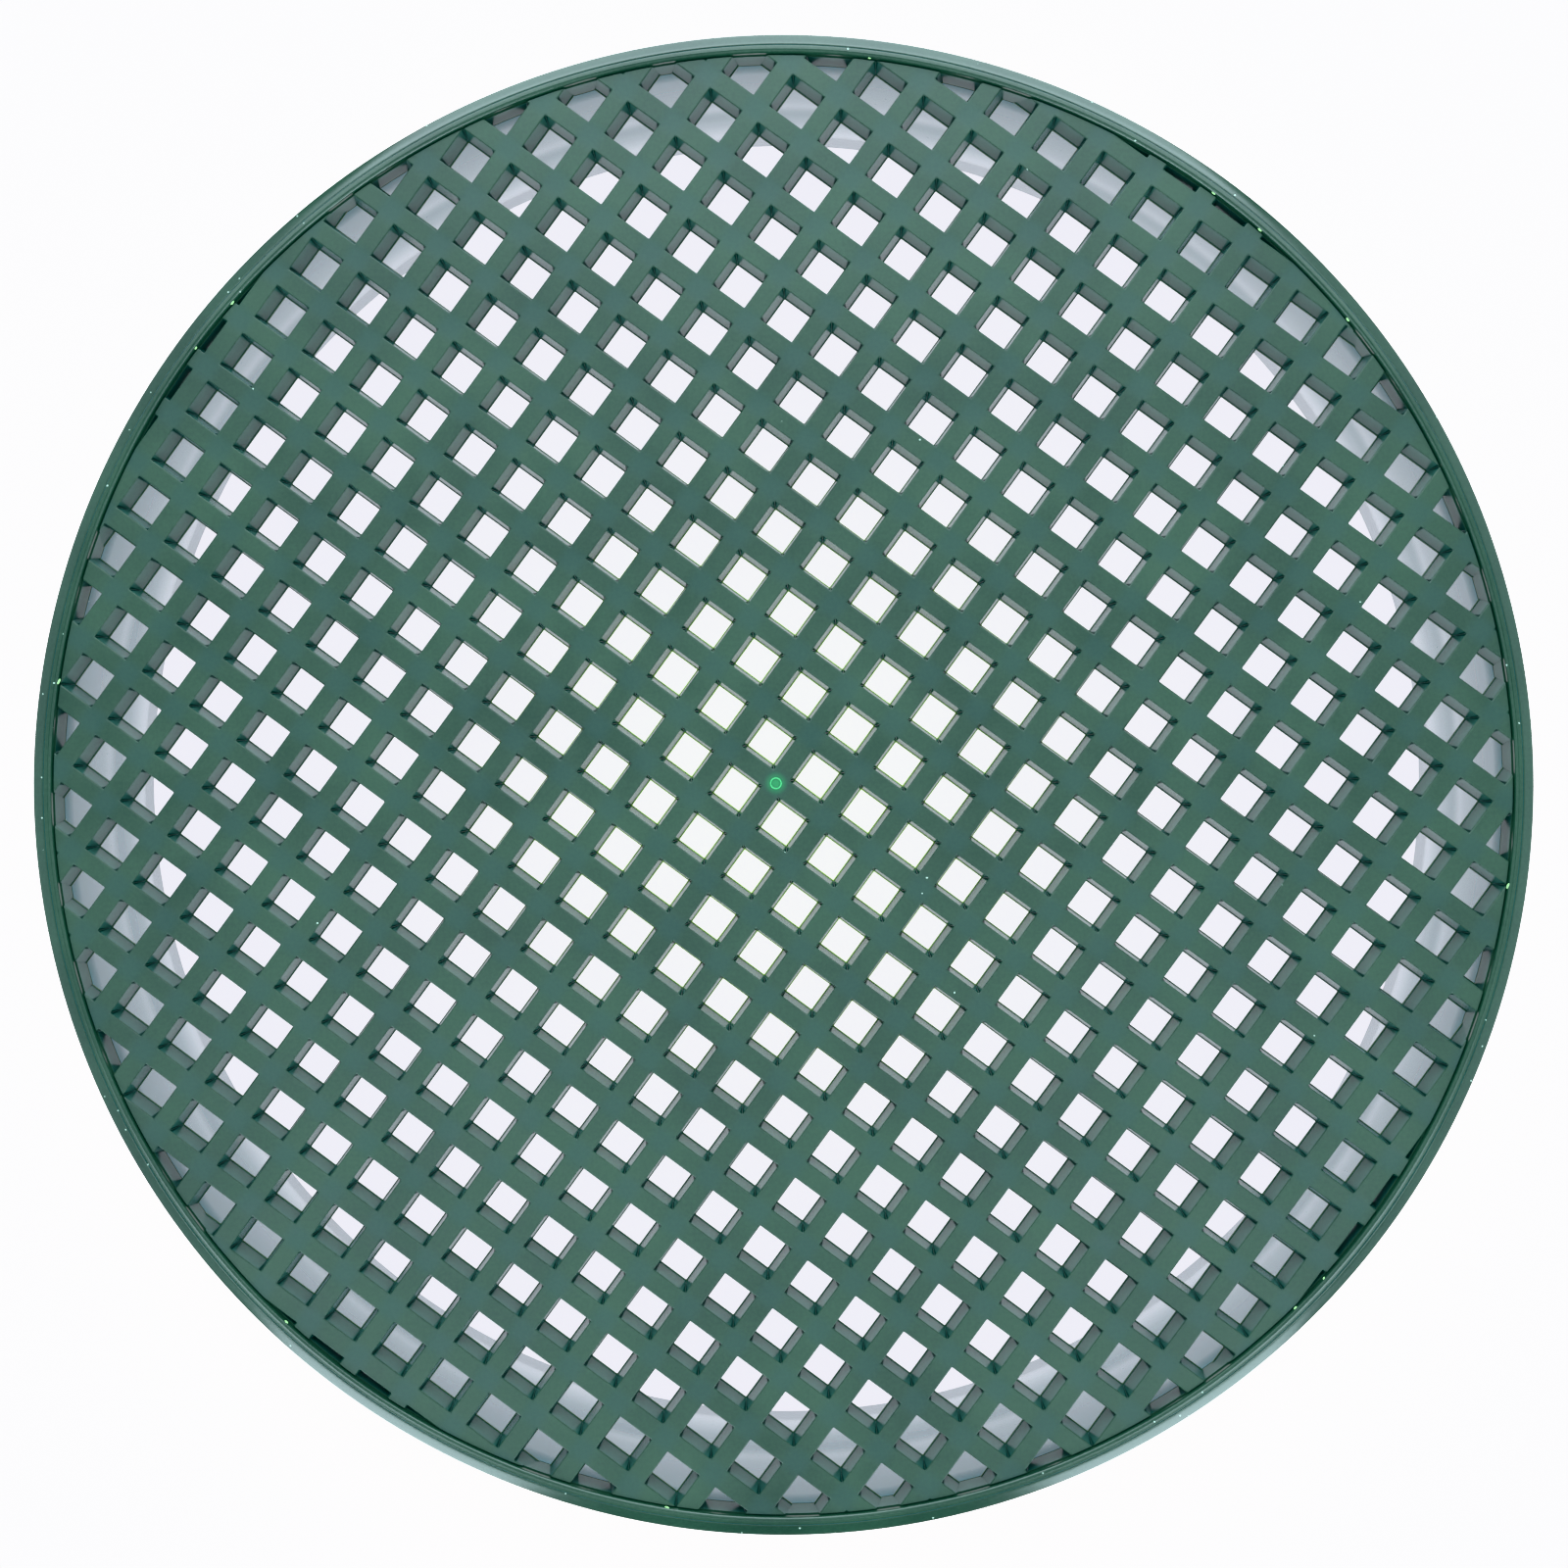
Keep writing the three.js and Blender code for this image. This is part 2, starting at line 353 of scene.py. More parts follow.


# %% [markdown]
# The grid has marks of its own. Each crossing of two bars is thicker than the bars, so it cools
# last and sinks, and its colour is tinted a shade bluer and greyer. In the very middle the melt came
# in, and the spot round the gate is painted brighter: a painted glow of light coming up through the
# thin plastic there. The corners of the holes are painted nearly black as painted shade, and the
# thin flash along the holes' bottom edges is painted pale as a glow of light from below, most of all
# near the gate.

# %% Sizes of the grid's marks, in millimetres
CROSSING_REACH = 4.6        # the sunk crossing fades out this far from its middle
CROSSING_CORE = 1.2         # and is at its deepest within this
# The gate's bright circle and the spot round it are a painted glow: light coming up through thin
# plastic.
GATE_CIRCLE_RADIUS = 1.35
GATE_CIRCLE_WIDTH = 0.22
GATE_GLOW_RADIUS = 3.4
CORNER_SHADE_START = 3.5          # painted shade darkens a wall this close to the middle line of the bar it meets
CORNER_SHADE_FULL = 3.2           # and darkens it in full within this
FLASH_TOP = 0.42            # height above the bottom where the painted glow on the flash has faded out
FLASH_FULL = 0.32
FLASH_PALE_NEAR = 20.0      # the flash's painted glow is strongest up to this far from the gate
FLASH_PALE_FAR = 100.0
print("marks: crossings", 2 * CROSSING_REACH, "mm wide, gate", 2 * GATE_CIRCLE_RADIUS, "mm wide")

# %% Marks that only the grid has
def crossing_mask(tree, place):
    """1 at each crossing of two bars, fading to 0 along the bars."""
    turned = add_node(tree, "ShaderNodeMapping", inputs={
        "Vector": place, "Rotation": (0, 0, -GRID_TURN)})
    parts = add_node(tree, "ShaderNodeSeparateXYZ", inputs={"Vector": turned.outputs[0]})
    fades = []
    for axis in ("X", "Y"):
        nearest = add_node(tree, "ShaderNodeMath", {"operation": "PINGPONG"}, {
            0: parts.outputs[axis], 1: GRID_PITCH / 2 * MM})
        fade = add_node(tree, "ShaderNodeMapRange", {"interpolation_type": "SMOOTHSTEP"}, {
            "Value": nearest.outputs[0],
            "From Min": CROSSING_REACH * MM, "From Max": CROSSING_CORE * MM})
        fades.append(fade.outputs[0])
    mask = add_node(tree, "ShaderNodeMath", {"operation": "MULTIPLY"}, {0: fades[0], 1: fades[1]})
    return mask.outputs[0]


def gate_glow_masks(tree, place):
    """Masks of the bright circle on the gate's ring and of the spot round it: a painted glow of
    light through thin plastic.
    """
    flat = add_node(tree, "ShaderNodeMapping", inputs={"Vector": place, "Scale": (1, 1, 0)})
    distance = add_node(tree, "ShaderNodeVectorMath", {"operation": "LENGTH"}, {
        0: flat.outputs[0]})
    off_circle = add_node(tree, "ShaderNodeMath", {"operation": "SUBTRACT"}, {
        0: distance.outputs["Value"], 1: GATE_CIRCLE_RADIUS * MM})
    width = add_node(tree, "ShaderNodeMath", {"operation": "ABSOLUTE"}, {0: off_circle.outputs[0]})
    circle = add_node(tree, "ShaderNodeMapRange", {"interpolation_type": "SMOOTHSTEP"}, {
        "Value": width.outputs[0], "From Min": GATE_CIRCLE_WIDTH * MM, "From Max": 0.04 * MM})
    gate_glow = add_node(tree, "ShaderNodeMapRange", {"interpolation_type": "SMOOTHSTEP"}, {
        "Value": distance.outputs["Value"],
        "From Min": GATE_GLOW_RADIUS * MM, "From Max": 0.2 * MM, "To Max": 0.75})
    return circle.outputs[0], gate_glow.outputs[0]


def painted_corner_shade_mask(tree, place, upright):
    """1 on the hole walls near where two walls meet, for the painted shade in the corners of the
    holes.
    """
    turned = add_node(tree, "ShaderNodeMapping", inputs={
        "Vector": place, "Rotation": (0, 0, -GRID_TURN)})
    parts = add_node(tree, "ShaderNodeSeparateXYZ", inputs={"Vector": turned.outputs[0]})
    mask = upright
    for axis in ("X", "Y"):
        nearest = add_node(tree, "ShaderNodeMath", {"operation": "PINGPONG"}, {
            0: parts.outputs[axis], 1: GRID_PITCH / 2 * MM})
        near = add_node(tree, "ShaderNodeMapRange", inputs={
            "Value": nearest.outputs[0],
            "From Min": CORNER_SHADE_START * MM, "From Max": CORNER_SHADE_FULL * MM})
        mask = add_node(tree, "ShaderNodeMath", {"operation": "MULTIPLY"}, {
            0: mask, 1: near.outputs[0]}).outputs[0]
    return mask


def flash_glow_mask(tree, place):
    """1 on the flash along the holes' bottom edges, for its painted glow of light from below; it is
    thickest near the gate, where the painted glow is palest.
    """
    parts = add_node(tree, "ShaderNodeSeparateXYZ", inputs={"Vector": place})
    low = add_node(tree, "ShaderNodeMapRange", inputs={
        "Value": parts.outputs["Z"],
        "From Min": (GRID_BOTTOM + FLASH_TOP) * MM,
        "From Max": (GRID_BOTTOM + FLASH_FULL) * MM})
    flat = add_node(tree, "ShaderNodeMapping", inputs={"Vector": place, "Scale": (1, 1, 0)})
    distance = add_node(tree, "ShaderNodeVectorMath", {"operation": "LENGTH"}, {
        0: flat.outputs[0]})
    near_gate = add_node(tree, "ShaderNodeMapRange", {"interpolation_type": "SMOOTHSTEP"}, {
        "Value": distance.outputs["Value"],
        "From Min": FLASH_PALE_FAR * MM, "From Max": FLASH_PALE_NEAR * MM,
        "To Min": 0.06, "To Max": 1.0})
    flash = add_node(tree, "ShaderNodeMath", {"operation": "MULTIPLY"}, {
        0: low.outputs[0], 1: near_gate.outputs[0]})
    return flash.outputs[0]


# %% Add the grid's marks to its colour and height
def marked_grid(tree, place, colour, height, painted_corner_shade):
    """The grid's colour and height, with the crossings sunk and every mark tinted."""
    crossing = crossing_mask(tree, place)
    # Each crossing is tinted a shade bluer and greyer; the tint is colour only.
    sunk = add_node(tree, "ShaderNodeMath", {"operation": "MULTIPLY"}, {0: crossing, 1: 0.4})
    sink = add_node(tree, "ShaderNodeMath", {"operation": "MULTIPLY_ADD"}, {
        0: crossing, 1: -0.05 * MM, 2: height})
    circle, gate_glow = gate_glow_masks(tree, place)
    tints = [
        (sunk.outputs[0], "#2E4643"),
        # The next two tints are a painted glow round the gate.
        (gate_glow, "#2F8A52"),
        (circle, "#50BE74"),
        # Painted shade: the corners of the holes are darkened nearly to black.
        (painted_corner_shade, "#142A22"),
        # Painted glow: the thin flash along the bottom edges, lit from below.
        (flash_glow_mask(tree, place), "#B8DC44"),
    ]
    for mask, tint in tints:
        colour = add_node(tree, "ShaderNodeMix", {"data_type": "RGBA"}, {
            "Factor": mask, "A": colour, "B": linear_colour(tint)}).outputs["Result"]
    return colour, sink.outputs[0]


def soil_film(tree, shader, upright, painted_corner_shade):
    """The shader under a matte film of soil dust on the holes' walls, with painted shade that
    darkens the corners.
    """
    film_colour = add_node(tree, "ShaderNodeMix", {"data_type": "RGBA"}, {
        "Factor": painted_corner_shade, "A": linear_colour("#507976"), "B": linear_colour("#15291F")})
    film = add_node(tree, "ShaderNodeBsdfDiffuse", inputs={
        "Color": film_colour.outputs["Result"]})
    share = add_node(tree, "ShaderNodeMapRange", inputs={
        "Value": painted_corner_shade, "To Min": 0.3, "To Max": 0.9})
    on_walls = add_node(tree, "ShaderNodeMath", {"operation": "MULTIPLY"}, {
        0: share.outputs[0], 1: upright})
    filmed = add_node(tree, "ShaderNodeMixShader", inputs={
        0: on_walls.outputs[0], 1: shader, 2: film.outputs[0]})
    return filmed.outputs[0]


# %% [markdown]
# Now the patterns come together in one recipe, which each of the three mouldings gets with its own
# dye and gloss. Roughness is never one number: handling has worn the level faces in patches, and
# the walls follow their draw lines. The thin parts of the ring's edge get a plastic of their own,
# with a painted glow.

# %% The recipe for the plastic
def worn_roughness(tree, place, draw_lines, upright, gloss, wall_gloss, unevenness):
    """Roughness with patches of wear on level faces, and draw lines on walls."""
    wear = add_node(tree, "ShaderNodeTexNoise", inputs={
        "Vector": place, "Scale": per_mm(14), "Detail": 4.0, "Roughness": 0.65})
    level_rough = add_node(tree, "ShaderNodeMapRange", inputs={
        "Value": wear.outputs["Fac"], "From Min": 0.3, "From Max": 0.7,
        "To Min": gloss - unevenness, "To Max": gloss + unevenness * 1.4})
    wall_rough = add_node(tree, "ShaderNodeMapRange", inputs={
        "Value": draw_lines, "From Min": 0.3, "From Max": 0.7,
        "To Min": wall_gloss - unevenness * 0.4, "To Max": wall_gloss + unevenness * 0.6})
    rough = add_node(tree, "ShaderNodeMix", {"data_type": "FLOAT"}, {
        "Factor": upright, "A": level_rough.outputs[0], "B": wall_rough.outputs[0]})
    return rough.outputs["Result"]


def specked_colour(tree, place, colour, upright, spacing):
    """The colour with pale specks, most of them on level faces."""
    spots = pale_specks(tree, place, spacing, width=0.4)
    fewer_on_walls = add_node(tree, "ShaderNodeMapRange", inputs={
        "Value": upright, "To Min": 1.0, "To Max": 0.15})
    specks = add_node(tree, "ShaderNodeMath", {"operation": "MULTIPLY"}, {
        0: spots, 1: fewer_on_walls.outputs[0]})
    specked = add_node(tree, "ShaderNodeMix", {"data_type": "RGBA"}, {
        "Factor": specks.outputs[0], "A": colour, "B": linear_colour("#B9D2C4")})
    return specked.outputs["Result"]


def polypropylene(name, deep_hex, pale_hex, gloss, wall_gloss, wave_mm, draw_mm, coat,
                  painted_reflection_hex=None, is_grid=False):
    """Dyed polypropylene from a polished mould: semi-gloss, cloudy, with draw marks on walls."""
    material, tree, place = bare_material(name)
    colour = cloudy_colour(tree, place, deep_hex, pale_hex)
    upright = upright_mask(tree)
    draw_lines = draw_marks(tree, place)
    height = moulded_skin(tree, place, draw_lines, upright, wave_mm, draw_mm)
    if is_grid:
        # Mask for the painted shade in the corners of the holes.
        painted_corner_shade = painted_corner_shade_mask(tree, place, upright)
        colour, height = marked_grid(tree, place, colour, height, painted_corner_shade)
    # Inner faces of the skirt get a paler, bluer colour: a painted reflection of the glowing table.
    if painted_reflection_hex:
        inner_face = inner_face_mask(tree, place)
        colour = add_node(tree, "ShaderNodeMix", {"data_type": "RGBA"}, {
            "Factor": inner_face, "A": colour, "B": linear_colour(painted_reflection_hex)}).outputs["Result"]
    colour = specked_colour(tree, place, colour, upright, spacing=9 if is_grid else 2.8)
    rough = worn_roughness(
        tree, place, draw_lines, upright, gloss, wall_gloss,
        unevenness=0.05 if is_grid else 0.008)
    bump = add_node(tree, "ShaderNodeBump", inputs={
        "Height": height, "Distance": 1.0, "Strength": 1.0})
    surface = add_node(tree, "ShaderNodeBsdfPrincipled", inputs={
        "Base Color": colour,
        "Roughness": rough,
        "IOR": 1.49,
        "Coat Weight": coat,
        "Coat Roughness": gloss,
        "Normal": bump.outputs["Normal"],
        "Coat Normal": bump.outputs["Normal"],
    })
    shader = surface.outputs[0]
    if is_grid:
        shader = soil_film(tree, shader, upright, painted_corner_shade)
    add_node(tree, "ShaderNodeOutputMaterial", inputs={"Surface": shader})
    return material


# %% The three finished plastics
# The hoop's mould was polished, so its rim is a dark mirror of the panels. The inside of the skirt
# gets a paler, bluer colour: a painted reflection of the glowing table, which it shows through the
# holes as a blue-grey band.
hoop_plastic = polypropylene(
    "polypropylene_hoop", "#27392E", "#304638", gloss=0.16, wall_gloss=0.12, wave_mm=0.008,
    draw_mm=0.0, coat=0.45, painted_reflection_hex="#37727A")
# The ring is a little less glossy, so its crest shows softer highlights than the rim beside it.
ring_plastic = polypropylene(
    "polypropylene_ring", "#2A3D31", "#344A3B", gloss=0.22, wall_gloss=0.3, wave_mm=0.008,
    draw_mm=0.01, coat=0.4)
# The grid is satin: flat green bars with no mirror image, and dusty walls in the holes.
grid_plastic = polypropylene(
    "polypropylene_grid", "#2A3B30", "#354A3A", gloss=0.42, wall_gloss=0.22, wave_mm=0.035,
    draw_mm=0.002, coat=0.0, is_grid=True)


# %% The plastic of shaved edges, with a painted glow
def sheared_edge_glow():
    """Plastic shaved so thin that light comes through it, shown as a painted glow: pale yellowish
    green, and matte.
    """
    material, tree, place = bare_material("polypropylene_sheared_glow")
    fibres = add_node(tree, "ShaderNodeTexNoise", inputs={
        "Vector": place, "Scale": per_mm(0.2), "Detail": 2.0})
    colour = add_node(tree, "ShaderNodeMix", {"data_type": "RGBA"}, {
        "Factor": fibres.outputs["Fac"],
        "A": linear_colour("#6FBF7A"), "B": linear_colour("#D2EFB0")})
    bump = add_node(tree, "ShaderNodeBump", inputs={
        "Height": fibres.outputs["Fac"], "Distance": 0.03 * MM})
    surface = add_node(tree, "ShaderNodeBsdfPrincipled", inputs={
        "Base Color": colour.outputs["Result"], "Roughness": 0.5,
        # The emission is a painted glow: light coming through the thin plastic.
        "Emission Color": colour.outputs["Result"], "Emission Strength": 0.25,
        "Normal": bump.outputs["Normal"]})
    add_node(tree, "ShaderNodeOutputMaterial", inputs={"Surface": surface.outputs[0]})
    return material


thin_plastic_glow = sheared_edge_glow()
print("materials:", [material.name for material in bpy.data.materials])

# %% [markdown]
# ## Working by hand, in code
#
# Each operator acts on whatever is selected, so every piece starts with nothing selected. Turned
# pieces are made as a modeller would on screen: a circle is added, then extruded and resized from
# one ring to the next along the outline, and the last ring is merged onto the first.

# %% Helpers for modelling
def start_clean():
    """Leaves edit mode and deselects everything."""
    if bpy.context.object and bpy.context.object.mode != "OBJECT":
        bpy.ops.object.mode_set(mode="OBJECT")
    bpy.ops.object.select_all(action="DESELECT")


def only_select(piece):
    """Makes this the one selected and active object."""
    start_clean()
    piece.select_set(True)
    bpy.context.view_layer.objects.active = piece


def select_where(piece, part, test):
    """In edit mode, selects only the faces or vertices whose place passes the test."""
    bpy.ops.mesh.select_all(action="DESELECT")
    mesh = bmesh.from_edit_mesh(piece.data)
    chosen = [item for item in getattr(mesh, part) if test(item)]
    for item in chosen:
        item.select_set(True)
    mesh.select_flush_mode()
    bmesh.update_edit_mesh(piece.data)
    return len(chosen)


def turned_piece(name, outline, steps):
    """A closed round piece, pulled up ring by ring along [radius, height] points in mm."""
    start_clean()
    radius, height = outline[0]
    bpy.ops.mesh.primitive_circle_add(
        vertices=steps, radius=radius * MM, location=(0, 0, height * MM))
    piece = bpy.context.object
    piece.name = name
    piece.data.name = name
    bpy.ops.object.mode_set(mode="EDIT")
    bpy.ops.mesh.select_all(action="SELECT")
    for next_radius, next_height in outline[1:] + outline[:1]:
        rise = (0, 0, (next_height - height) * MM)
        bpy.ops.mesh.extrude_region_move(TRANSFORM_OT_translate={"value": rise})
        growth = next_radius / radius
        bpy.ops.transform.resize(
            value=(growth, growth, 1), center_override=(0, 0, next_height * MM))
        radius, height = next_radius, next_height
    bpy.ops.mesh.select_all(action="SELECT")
    bpy.ops.mesh.remove_doubles(threshold=0.01 * MM)
    bpy.ops.mesh.normals_make_consistent(inside=False)
    bpy.ops.object.mode_set(mode="OBJECT")
    bpy.ops.object.transform_apply(location=True, rotation=True, scale=True)
    return piece


def apply_modifiers(piece):
    """Applies every modifier of the piece, in order."""
    only_select(piece)
    for modifier in list(piece.modifiers):
        bpy.ops.object.modifier_apply(modifier=modifier.name)


def round_edges(piece, width, segments, sharper_than=30):
    """Rounds every edge that is sharper than an angle in degrees."""
    bevel = piece.modifiers.new("edge_rounding", "BEVEL")
    bevel.width = width * MM
    bevel.segments = segments
    bevel.limit_method = "ANGLE"
    bevel.angle_limit = math.radians(sharper_than)
    apply_modifiers(piece)


def cut(piece, tool, how):
    """Joins or cuts the piece with a closed tool, and deletes the tool."""
    boolean = piece.modifiers.new("cut", "BOOLEAN")
    boolean.object = tool
    boolean.operation = how
    boolean.solver = "MANIFOLD"
    apply_modifiers(piece)
    bpy.data.objects.remove(tool)


def finish_piece(piece, material, node, smooth_below):
    """Gives the piece its plastic, its shading and its place in the frame."""
    only_select(piece)
    piece.data.materials.clear()
    piece.data.materials.append(material)
    bpy.ops.object.shade_smooth_by_angle(angle=math.radians(smooth_below))
    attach(piece, "root")
    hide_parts(node)
    size = [round(side, 4) for side in piece.dimensions]
    print(piece.name, "faces:", len(piece.data.polygons), "size:", size)


# %% [markdown]
# ## The hoop
#
# The hoop is one moulding. From the open end up, it has a turned-over lip that stiffens it and
# spares the hands, a skirt that flares by about six degrees so that it slides out of the mould and
# stacks, a rib round the middle, and a stepped end whose ledge carries the grid. Where the rib
# meets the wall the plastic is thick, so the inside has sunk by a quarter of a millimetre: a faint
# ring that only shows in the mirrored light. The outline lists those points and is turned round.

# %% Outline of the hoop
LIP_THICKNESS = 2.2
LIP_TURN_HEIGHT = 8.0
RIB_HEIGHT = 41.0
RIB_THICKNESS = 2.0
RIB_REACH = 2.6
LEDGE_TOP = GRID_BOTTOM - 0.1       # the ledge stops just short of the grid
LEDGE_THICKNESS = 2.4
COLLAR_BOTTOM = GRID_TOP - 12
CREST_FLAT = 0.4            # the flat top of the wall, next to the joint
SLOPE_RADIUS = 189.2        # then the top slopes down to here
SLOPE_DROP = 0.9
ROUND_DROP = 2.2            # and is rounded down to the outside
SINK_DEPTH = 0.26
SINK_SPREAD = 4.2           # how far above and below the rib the sink mark fades


def skirt_radius(height):
    """Inside radius of the skirt, with no sink mark."""
    along = min(height, COLLAR_BOTTOM) / COLLAR_BOTTOM
    return OPEN_RADIUS + (COLLAR_RADIUS - OPEN_RADIUS) * along


def sunk_skirt_radius(height):
    """Inside radius of the skirt with the sink mark opposite the rib."""
    away = (height - RIB_HEIGHT) / SINK_SPREAD
    return skirt_radius(height) + SINK_DEPTH * math.exp(-away * away / 2)


def hoop_outline():
    """The hoop's cross-section, from the open end's inside edge round to it again."""
    rib_low = RIB_HEIGHT - RIB_THICKNESS / 2
    rib_high = RIB_HEIGHT + RIB_THICKNESS / 2
    rib_radius = skirt_radius(RIB_HEIGHT) + WALL + RIB_REACH
    ledge_bottom = LEDGE_TOP - LEDGE_THICKNESS
    points = [
        (OPEN_RADIUS, 0),
        (LIP_RADIUS, 0),
        (LIP_RADIUS, LIP_TURN_HEIGHT),
        (LIP_RADIUS - LIP_THICKNESS, LIP_TURN_HEIGHT),
        (LIP_RADIUS - LIP_THICKNESS, LIP_THICKNESS),
        (skirt_radius(LIP_THICKNESS) + WALL, LIP_THICKNESS),
        (skirt_radius(rib_low) + WALL, rib_low),
        (rib_radius, rib_low),
        (rib_radius, rib_high),
        (skirt_radius(rib_high) + WALL, rib_high),
        (COLLAR_RADIUS + WALL, ledge_bottom - WALL),
        (RIM_RADIUS, ledge_bottom),
    ]
    crest_steps = 8
    for step in range(crest_steps + 1):
        angle = step / crest_steps * math.pi / 2
        radius = SLOPE_RADIUS + (RIM_RADIUS - SLOPE_RADIUS) * math.cos(angle)
        drop = ROUND_DROP + (SLOPE_DROP - ROUND_DROP) * math.sin(angle)
        points.append((radius, OVERALL_HEIGHT - drop))
    points += [
        (REBATE_RADIUS + CREST_FLAT, OVERALL_HEIGHT),
        (REBATE_RADIUS, OVERALL_HEIGHT - 0.05),
        (REBATE_RADIUS, LEDGE_TOP),
        (COLLAR_RADIUS, LEDGE_TOP),
        (COLLAR_RADIUS, COLLAR_BOTTOM),
    ]
    sink_steps = 14
    for step in range(sink_steps + 1):
        height = RIB_HEIGHT + SINK_SPREAD * 3 * (1 - 2 * step / sink_steps)
        points.append((sunk_skirt_radius(height), height))
    return points


# %% Turn the hoop and round its edges
hoop = turned_piece("hoop_wall", hoop_outline(), ROUND_STEPS)
round_edges(hoop, width=0.12, segments=2)
finish_piece(hoop, hoop_plastic, "hoop", smooth_below=35)

# %% [markdown]
# ## The grid
#
# The grid is a flat disc with square holes on a square lattice, cut off by the round edge band. In
# the mould each hole is a steel pin that tapers by ten degrees, so that the plastic lets go of it.
# A small fillet at its foot gives the bars their rounded edges, and where the two halves of the
# mould meet near its tip there is a hair-thin lip of flash. So one pin is modelled ring by ring
# and copied over the lattice. The pins outside the band's inner circle are left out, the rest are
# cut off by it, and together they are cut out of the disc.

# %% One pin of the mould
TOP_HALF = (GRID_PITCH - BAR_TOP_WIDTH) / 2
BOTTOM_HALF = (GRID_PITCH - BAR_BOTTOM_WIDTH) / 2
GRID_DEPTH = GRID_TOP - GRID_BOTTOM
PIN_CORNER = 0.12           # radius of the pin's four upright edges
EDGE_ROUND = 0.25
FLASH_HEIGHT = 0.3          # the two halves of the mould meet this far above the bottom
FLASH_REACH = 0.1           # and the flash stands this far into the hole
PARTING_STEP = 0.12         # just above the flash the pin is this much wider than at the bottom
PARTING_RISE = 0.08
OVERSHOOT = 1.0             # a pin passes this far through the disc on both sides

# Half widths of the pin at heights above the grid's bottom, from below the grid to above it
pin_rings = [
    (BOTTOM_HALF - FLASH_REACH, -OVERSHOOT),
    (BOTTOM_HALF - FLASH_REACH, FLASH_HEIGHT),
    (BOTTOM_HALF + PARTING_STEP, FLASH_HEIGHT + PARTING_RISE),
    (TOP_HALF - EDGE_ROUND * 1.1, GRID_DEPTH - EDGE_ROUND),
    (TOP_HALF - EDGE_ROUND * 0.75, GRID_DEPTH - EDGE_ROUND * 0.4),
    (TOP_HALF, GRID_DEPTH),
    (TOP_HALF, GRID_DEPTH + OVERSHOOT),
]

start_clean()
first_half, first_height = pin_rings[0]
bpy.ops.mesh.primitive_plane_add(size=2 * first_half * MM, location=(0, 0, 0))
pin = bpy.context.object
pin.name = "mould_pin"
bpy.ops.object.mode_set(mode="EDIT")
bpy.ops.mesh.bevel(offset=PIN_CORNER * MM, segments=1, affect="VERTICES")
bpy.ops.transform.translate(value=(0, 0, (GRID_BOTTOM + first_height) * MM))
half, height = first_half, first_height
for next_half, next_height in pin_rings[1:]:
    rise = (0, 0, (next_height - height) * MM)
    bpy.ops.mesh.extrude_region_move(TRANSFORM_OT_translate={"value": rise})
    growth = next_half / half
    bpy.ops.transform.resize(value=(growth, growth, 1), center_override=(0, 0, 0))
    half, height = next_half, next_height
bpy.ops.mesh.select_all(action="SELECT")
bpy.ops.mesh.normals_make_consistent(inside=False)
bpy.ops.object.mode_set(mode="OBJECT")
print("pin faces:", len(pin.data.polygons), "size:", [round(s / MM, 2) for s in pin.dimensions])

# %% Set the pins over the lattice
REACH = math.ceil(FIELD_RADIUS / GRID_PITCH)
SMALLEST_HOLE = 0.3         # a hole that enters the field by less is left out

pins = []
for column in range(-REACH, REACH):
    for row in range(-REACH, REACH):
        x = (column + 0.5) * GRID_PITCH
        y = (row + 0.5) * GRID_PITCH
        nearest = math.hypot(abs(x) - TOP_HALF, abs(y) - TOP_HALF)
        if nearest > FIELD_RADIUS - SMALLEST_HOLE:
            continue
        copy = bpy.data.objects.new("mould_pin_copy", pin.data.copy())
        bpy.context.scene.collection.objects.link(copy)
        copy.location = (x * MM, y * MM, 0)
        pins.append(copy)

only_select(pins[0])
for copy in pins:
    copy.select_set(True)
bpy.ops.object.join()
pin_field = bpy.context.object
bpy.ops.object.transform_apply(location=True, rotation=True, scale=True)
bpy.ops.object.mode_set(mode="EDIT")
bpy.ops.mesh.select_all(action="SELECT")
bpy.ops.transform.rotate(value=-GRID_TURN, orient_axis="Z", center_override=(0, 0, 0))
bpy.ops.object.mode_set(mode="OBJECT")
bpy.data.objects.remove(pin)
print("holes:", len(pins))

# %% Cut the pins off at the band, and cut the holes out of the disc
def stepped_disc():
    """The grid before its holes: the edge band, with the field of the bars 1 mm higher."""
    start_clean()
    band_top = GRID_TOP - EDGE_BAND_DROP
    bpy.ops.mesh.primitive_cylinder_add(
        vertices=ROUND_STEPS, radius=BAND_RADIUS * MM, depth=(band_top - GRID_BOTTOM) * MM,
        location=(0, 0, (band_top + GRID_BOTTOM) / 2 * MM))
    disc = bpy.context.object
    disc.name = "grid_bars"
    disc.data.name = "grid_bars"
    bpy.ops.object.mode_set(mode="EDIT")
    select_where(disc, "faces", lambda face: face.normal.z > 0.9)
    bpy.ops.mesh.inset(thickness=(BAND_RADIUS - BAR_TOP_RADIUS) * MM)
    bpy.ops.mesh.extrude_region_move(
        TRANSFORM_OT_translate={"value": (0, 0, EDGE_BAND_DROP * MM)})
    bpy.ops.object.mode_set(mode="OBJECT")
    bpy.ops.object.transform_apply(location=True, rotation=True, scale=True)
    return disc


DRUM_DEPTH = 20.0           # more than a pin is long

start_clean()
bpy.ops.mesh.primitive_cylinder_add(
    vertices=ROUND_STEPS, radius=FIELD_RADIUS * MM, depth=DRUM_DEPTH * MM,
    location=(0, 0, (GRID_TOP + GRID_BOTTOM) / 2 * MM))
field_drum = bpy.context.object
bpy.ops.object.transform_apply(location=True, rotation=True, scale=True)

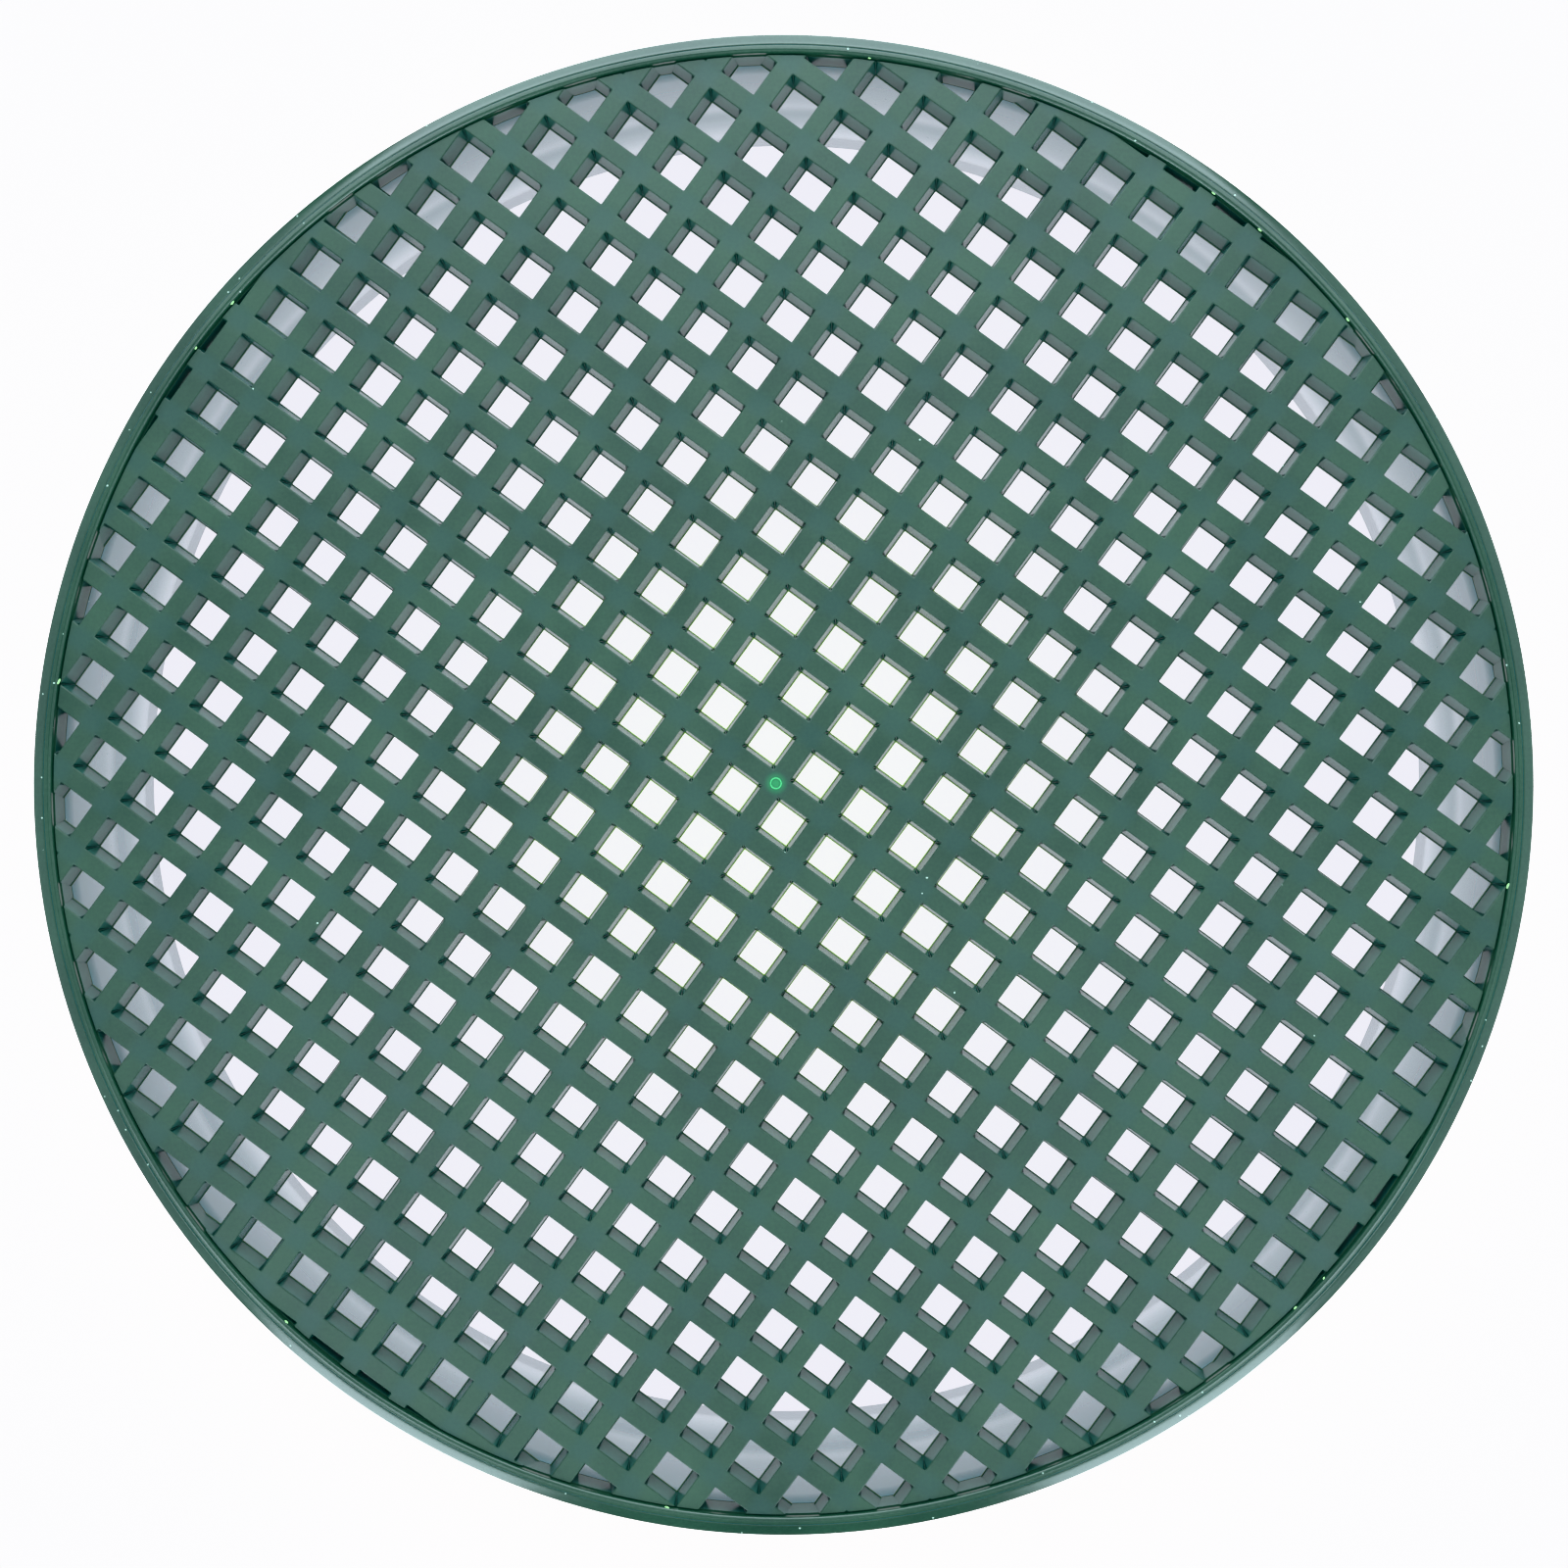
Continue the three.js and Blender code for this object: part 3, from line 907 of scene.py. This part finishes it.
cut(pin_field, field_drum, "INTERSECT")
grid = stepped_disc()
cut(grid, pin_field, "DIFFERENCE")
print("grid after cutting:", len(grid.data.polygons), "faces")

# %% [markdown]
# The gate is the spot where molten plastic entered the mould. The nozzle leaves a low round ring
# with a dimple in the middle of the grid. It is a short cylinder whose top is inset and pushed in,
# rounded and then joined to the bars.

# %% The gate mark
GATE_RADIUS = 1.5
GATE_HEIGHT = 0.22

start_clean()
bpy.ops.mesh.primitive_cylinder_add(
    vertices=32, radius=GATE_RADIUS * MM, depth=2 * GATE_HEIGHT * MM,
    location=(0, 0, GRID_TOP * MM))
gate = bpy.context.object
bpy.ops.object.mode_set(mode="EDIT")
select_where(gate, "faces", lambda face: face.normal.z > 0.9)
bpy.ops.mesh.inset(thickness=0.4 * MM)
bpy.ops.mesh.extrude_region_move(
    TRANSFORM_OT_translate={"value": (0, 0, -0.8 * GATE_HEIGHT * MM)})
bpy.ops.object.mode_set(mode="OBJECT")
bpy.ops.object.transform_apply(location=True, rotation=True, scale=True)
round_edges(gate, width=0.1, segments=2)
cut(grid, gate, "UNION")
finish_piece(grid, grid_plastic, "sieve_grid", smooth_below=20)

# %% [markdown]
# ## The retaining ring
#
# A thin ring is pressed into the rebate over the grid's edge band. It has a flat crest, a fine
# groove, and a soft shoulder that rolls down to the grid. Its inner edge is ragged, because the
# press shaves a little plastic off it, so it is turned with many more steps and that edge is
# shaken by a twentieth of a millimetre.

# %% Turn the ring and roughen its inner edge
RING_INNER_RADIUS = 184.8
RING_STEPS = 900
RING_INNER_DROP = 0.8       # the inner edge lies this far below the crest
RING_EDGE_SHAKE = 0.05
ring_outline = [
    (RING_INNER_RADIUS, RING_BOTTOM),
    (RING_RADIUS, RING_BOTTOM),
    (RING_RADIUS, OVERALL_HEIGHT - 0.08),
    (RING_RADIUS - 0.04, OVERALL_HEIGHT - 0.02),
    (RING_RADIUS - 0.14, OVERALL_HEIGHT),
    (RING_RADIUS - 0.95, OVERALL_HEIGHT - 0.04),
    (RING_RADIUS - 1.0, OVERALL_HEIGHT - 0.12),
    (RING_RADIUS - 1.07, OVERALL_HEIGHT - 0.08),
    (RING_RADIUS - 1.4, OVERALL_HEIGHT - 0.13),
    (RING_RADIUS - 1.6, OVERALL_HEIGHT - 0.24),
    (RING_RADIUS - 1.74, OVERALL_HEIGHT - 0.42),
    (RING_INNER_RADIUS, OVERALL_HEIGHT - RING_INNER_DROP),
]
ring = turned_piece("pressed_ring", ring_outline, RING_STEPS)
bpy.ops.object.mode_set(mode="EDIT")
edge_height = (OVERALL_HEIGHT - RING_INNER_DROP) * MM
select_where(ring, "verts", lambda vert: abs(vert.co.z - edge_height) < 0.02 * MM)
bpy.ops.transform.vertex_random(offset=RING_EDGE_SHAKE * MM, seed=5)
bpy.ops.object.mode_set(mode="OBJECT")
finish_piece(ring, ring_plastic, "retaining_ring", smooth_below=35)

# %% [markdown]
# Where the press sheared the ring's edge against a bar, tiny curls of plastic were left hanging.
# They are thin enough to let light through, and that light is a painted glow of bright yellowish
# green. Each is a small ball, stretched along the edge, flattened and tilted at random, and all are
# joined as one piece.

# %% Curls of plastic on the ring's inner edge
CURL_HEIGHT = 89.4
CURL_RADIUS = RING_INNER_RADIUS - 0.05
CURL_ANGLES = (53.6, 49.0, 39.2, 82.8, -7.8, -41.9, -45.1, -98.4, -132.1, -187.9, -216.7, -221.3)

curls = []
shaker = random.Random(11)
for degrees in CURL_ANGLES:
    start_clean()
    angle = math.radians(degrees)
    size = shaker.uniform(0.3, 0.48) * MM
    place = Vector((CURL_RADIUS * math.cos(angle), CURL_RADIUS * math.sin(angle), CURL_HEIGHT))
    bpy.ops.mesh.primitive_ico_sphere_add(
        subdivisions=2, radius=size, location=place * MM,
        rotation=(shaker.uniform(-0.4, 0.4), shaker.uniform(-0.4, 0.4), angle))
    curl = bpy.context.object
    curl.scale = (0.7, shaker.uniform(1.2, 1.9), 0.5)
    curls.append(curl)
only_select(curls[0])
for curl in curls:
    curl.select_set(True)
bpy.ops.object.join()
curl_piece = bpy.context.object
curl_piece.name = "ring_edge_curls"
curl_piece.data.name = "ring_edge_curls"
bpy.ops.object.transform_apply(location=True, rotation=True, scale=True)
finish_piece(curl_piece, thin_plastic_glow, "retaining_ring", smooth_below=60)
